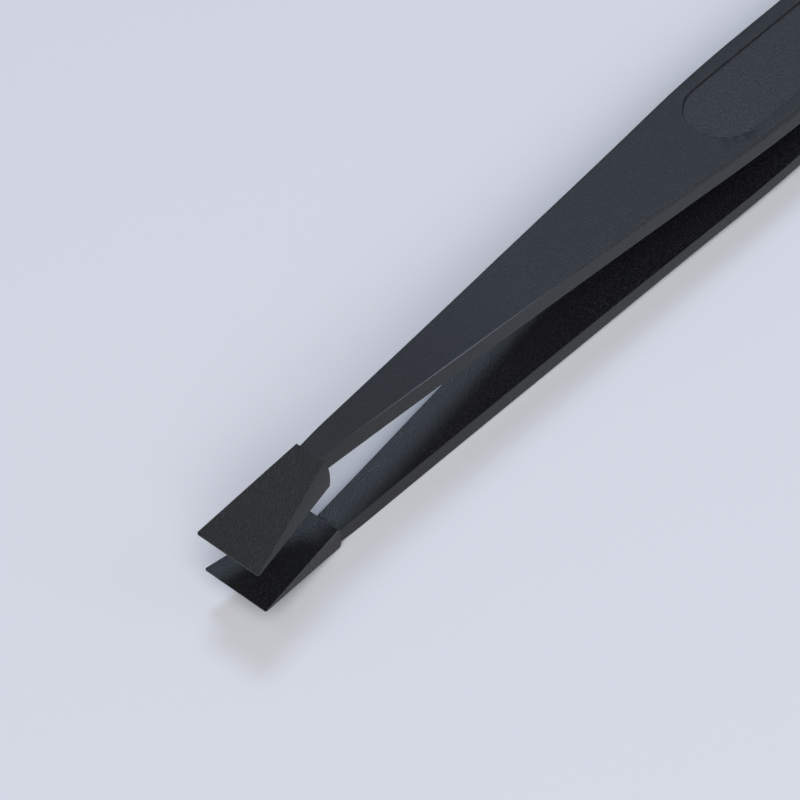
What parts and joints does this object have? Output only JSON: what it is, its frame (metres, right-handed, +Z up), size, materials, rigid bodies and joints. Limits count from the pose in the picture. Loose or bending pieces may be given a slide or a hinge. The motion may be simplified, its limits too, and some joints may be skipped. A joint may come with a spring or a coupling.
{
  "type": "plastic tweezers",
  "caption": "One-piece moulded plastic tweezers with flared flat spade tips, slim necks, a wide grip with a shallow oblong panel, and a thick joined end.",
  "frame": {"origin": "middle of the part's footprint, on the surface that it lies on", "axes": "+X from the spade tips to the joined end, +Y across the arms, +Z up, from the lower arm to the upper arm"},
  "size_m": [0.115, 0.0096, 0.01],
  "materials": {
    "moulded_plastic": "as moulded, fine matt grain"
  },
  "bodies": {
    "root": {"tweezers": "moulded_plastic"}
  },
  "joints": []
}
